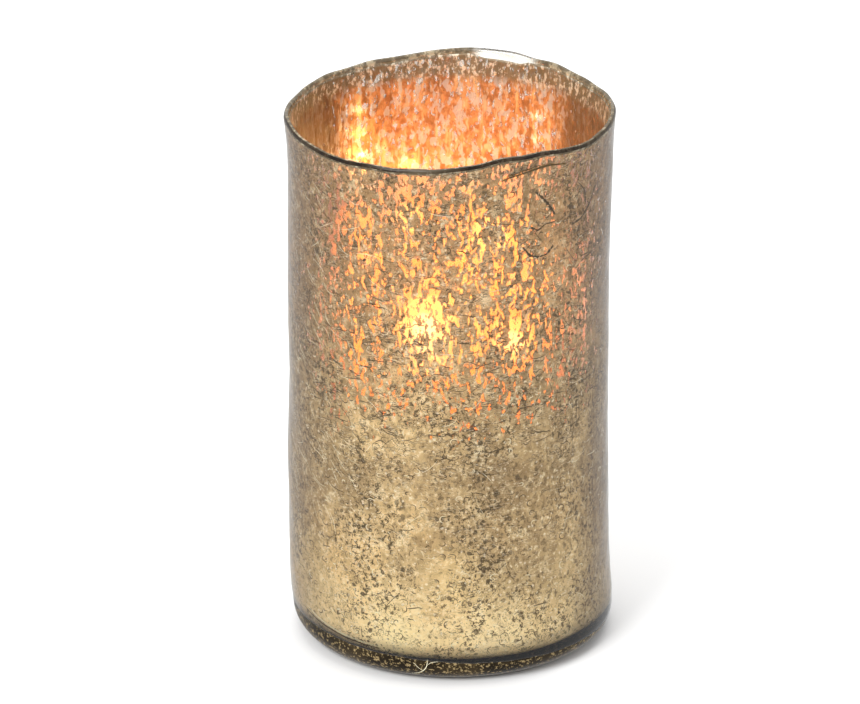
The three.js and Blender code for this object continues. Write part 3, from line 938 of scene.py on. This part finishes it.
def wick_mesh():
    """A three-ply braid, straight in the wax and curled over at the burnt end."""
    seg, steps, top = 36, 150, 22.3
    verts, faces = [], []
    ang = np.arange(seg) / seg * 2 * math.pi
    for i in range(steps + 1):
        z = 0.7 + (top - 0.7) * i / steps
        base = float(np.interp(z, [0.7, 1.0, 16, 19, 21, 22, top], [0.62, 0.74, 0.74, 0.70, 0.62, 0.46, 0.12]))
        r = base * (1 + 0.16 * np.abs(np.cos(1.5 * (ang + z * 1.9)) ) * np.abs(np.cos(1.5 * (ang - z * 1.9))))
        t = max(0.0, (z - 14) / (22.4 - 14))
        verts.extend(np.stack([(r * np.sin(ang) + 1.6 * t * t) * MM, (-r * np.cos(ang) - 0.5 * t * t) * MM, np.full(seg, (z + CUP_Z) * MM)], -1))
    for k in range(steps):
        for i in range(seg):
            j = (i + 1) % seg
            faces.append((k * seg + i, k * seg + j, (k + 1) * seg + j, (k + 1) * seg + i))
    verts.append((0.0, 0.0, (0.7 + CUP_Z) * MM))
    verts.append((1.6 * MM, -0.5 * MM, (top + 0.05 + CUP_Z) * MM))
    b, c = len(verts) - 2, len(verts) - 1
    for i in range(seg):
        j = (i + 1) % seg
        faces.append((b, j, i))
        faces.append((c, steps * seg + i, steps * seg + j))
    return verts, faces


verts, faces = wick_mesh()
wick = new_mesh("wick_braid", verts, faces, "candle", mats=(cotton,))
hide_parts("wick")


def flame_mesh():
    """A tealight's flame: a pointed drop round the tip of the wick."""
    seg, steps = 40, 48
    verts, faces = [], []
    ang = np.arange(seg) / seg * 2 * math.pi
    z0, z1 = 17.6, 36.5
    for i in range(1, steps):
        u = i / steps
        r = 3.35 * (math.sin(math.pi * u ** 0.62) ** 0.85) * (1 - 0.35 * u)
        cx = 0.9 + 0.35 * math.sin(2.2 * u + 0.3)
        verts.extend(np.stack([(r * np.sin(ang) + cx) * MM, (-r * np.cos(ang) - 0.3) * MM, np.full(seg, (z0 + (z1 - z0) * u + CUP_Z) * MM)], -1))
    n = steps - 1
    for k in range(n - 1):
        for i in range(seg):
            j = (i + 1) % seg
            faces.append((k * seg + i, k * seg + j, (k + 1) * seg + j, (k + 1) * seg + i))
    verts.append(((0.9 + 0.35 * math.sin(0.3)) * MM, -0.3 * MM, (z0 + CUP_Z) * MM))
    verts.append(((0.9 + 0.35 * math.sin(2.5)) * MM, -0.3 * MM, (z1 + CUP_Z) * MM))
    b, c = len(verts) - 2, len(verts) - 1
    for i in range(seg):
        j = (i + 1) % seg
        faces.append((b, j, i))
        faces.append((c, (n - 1) * seg + i, (n - 1) * seg + j))
    return verts, faces


verts, faces = flame_mesh()
flame = new_mesh("flame", verts, faces, "candle", mats=(flame_material(),))


# ------------------------------------------------------------------ floor, lights
def floor():
    t = Tree("floor")
    n = t.noise(t.scaled(3, 3, 3), detail=2.0)
    t.set(Base_Color=t.mix(n, (0.86, 0.86, 0.86), (0.88, 0.88, 0.88)), Roughness=0.7, Specular_IOR_Level=0.2)
    me = bpy.data.meshes.new("floor")
    s = 14.0
    me.from_pydata([(-s, -s, -0.0002), (s, -s, -0.0002), (s, s, -0.0002), (-s, s, -0.0002)], [], [(0, 1, 2, 3)])
    me.materials.append(t.mat)
    ob = bpy.data.objects.new("floor", me)
    scene.collection.objects.link(ob)
    ob.visible_glossy = False   # the glass mirrors the soft sky instead of the bright floor


floor()


def area(name, loc, aim, size, power, color=(1, 1, 1)):
    li = bpy.data.lights.new(name, "AREA")
    li.shape = "RECTANGLE"
    li.size, li.size_y = size
    li.energy = power
    li.color = color
    ob = bpy.data.objects.new(name, li)
    scene.collection.objects.link(ob)
    ob.location = loc
    ob.rotation_mode = "QUATERNION"
    ob.rotation_quaternion = (Vector(aim) - Vector(loc)).to_track_quat("-Z", "Y")
    return ob


def glow(name, loc, radius, power, color, seen=False, body="candle"):
    """A small warm lamp inside the cup, which goes with the candle. Unless seen, it lights but doesn't show."""
    li = bpy.data.lights.new(name, "POINT")
    li.shadow_soft_size = radius
    li.energy = power
    li.color = color
    ob = bpy.data.objects.new(name, li)
    scene.collection.objects.link(ob)
    ob.location = loc
    # never seen directly; the seen ones show only through the glass
    ob.visible_camera = False
    if seen:
        ob.visible_diffuse = ob.visible_glossy = False
    else:
        ob.visible_transmission = False
    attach(ob, body)
    return ob


area("key", (-1.5, -1.9, 1.9), (0, 0, 0.05), (1.4, 1.4), 80)
area("fill", (1.9, -1.0, 1.3), (0, 0, 0.05), (1.4, 1.4), 5)
area("top", (0.1, 0.6, 2.2), (0, 0, 0.05), (1.8, 1.8), 30)

WARM = (1.0, 0.70, 0.38)
glow("glow_main", (-0.0060, 0.0060, 0.0780), 0.0045, 0.138, WARM)
glow("glow_right", (0.0140, 0.0060, 0.0780), 0.0032, 0.072, WARM)
STREAK = (1.0, 0.76, 0.32)
glow("glow_streak_1", (-0.0224, 0.0333, 0.1190), 0.0008, 0.0020, STREAK)
glow("glow_streak_2", (-0.0224, 0.0333, 0.1240), 0.0008, 0.0018, STREAK)
glow("glow_streak_3", (-0.0224, 0.0333, 0.1300), 0.0008, 0.0011, STREAK)
glow("glow_streak_4", (-0.0224, 0.0333, 0.1370), 0.0008, 0.0006, STREAK)
glow("glow_streak_5", (0.0218, 0.0339, 0.1280), 0.0008, 0.00028, WARM)
glow("glow_streak_6", (0.0214, 0.0341, 0.1350), 0.0008, 0.00028, WARM)
glow("glow_streak_7", (-0.0107, 0.0387, 0.1190), 0.0008, 0.0010, STREAK)


def ball(name, loc, radius, radiance, color):
    """A faint ball of light that shows through the worn silvering. Power from the wanted radiance."""
    glow(name, loc, radius, radiance * 4 * math.pi ** 2 * radius ** 2, color, seen=True)


YELLOW = (1.0, 0.80, 0.44)
ball("flare_core", (-0.0066, 0.0, 0.0880), 0.0034, 0.75, YELLOW)
ball("flare_core_wide", (-0.0062, 0.0, 0.0885), 0.0080, 0.62, (1.0, 0.60, 0.20))
ball("flare_core_halo", (-0.0050, 0.0, 0.0890), 0.0160, 0.30, (1.0, 0.50, 0.16))
ball("flare_right", (0.0175, 0.0, 0.0835), 0.0026, 0.60, YELLOW)
ball("flare_right_halo", (0.0170, 0.0, 0.0840), 0.0060, 0.55, (1.0, 0.56, 0.18))
ball("flare_up_left", (-0.0112, 0.0, 0.1200), 0.0040, 0.60, (1.0, 0.60, 0.18))
ball("flare_up_right", (0.0112, 0.0, 0.1150), 0.0052, 0.50, (1.0, 0.60, 0.18))

world = bpy.data.worlds.new("studio")
scene.world = world
world.use_nodes = True
bg = next(n for n in world.node_tree.nodes if n.type == "BACKGROUND")
bg.inputs["Color"].default_value = (1.0, 1.0, 1.0, 1)
bg.inputs["Strength"].default_value = 0.76

scene.view_settings.view_transform = "Standard"
scene.view_settings.look = "None"
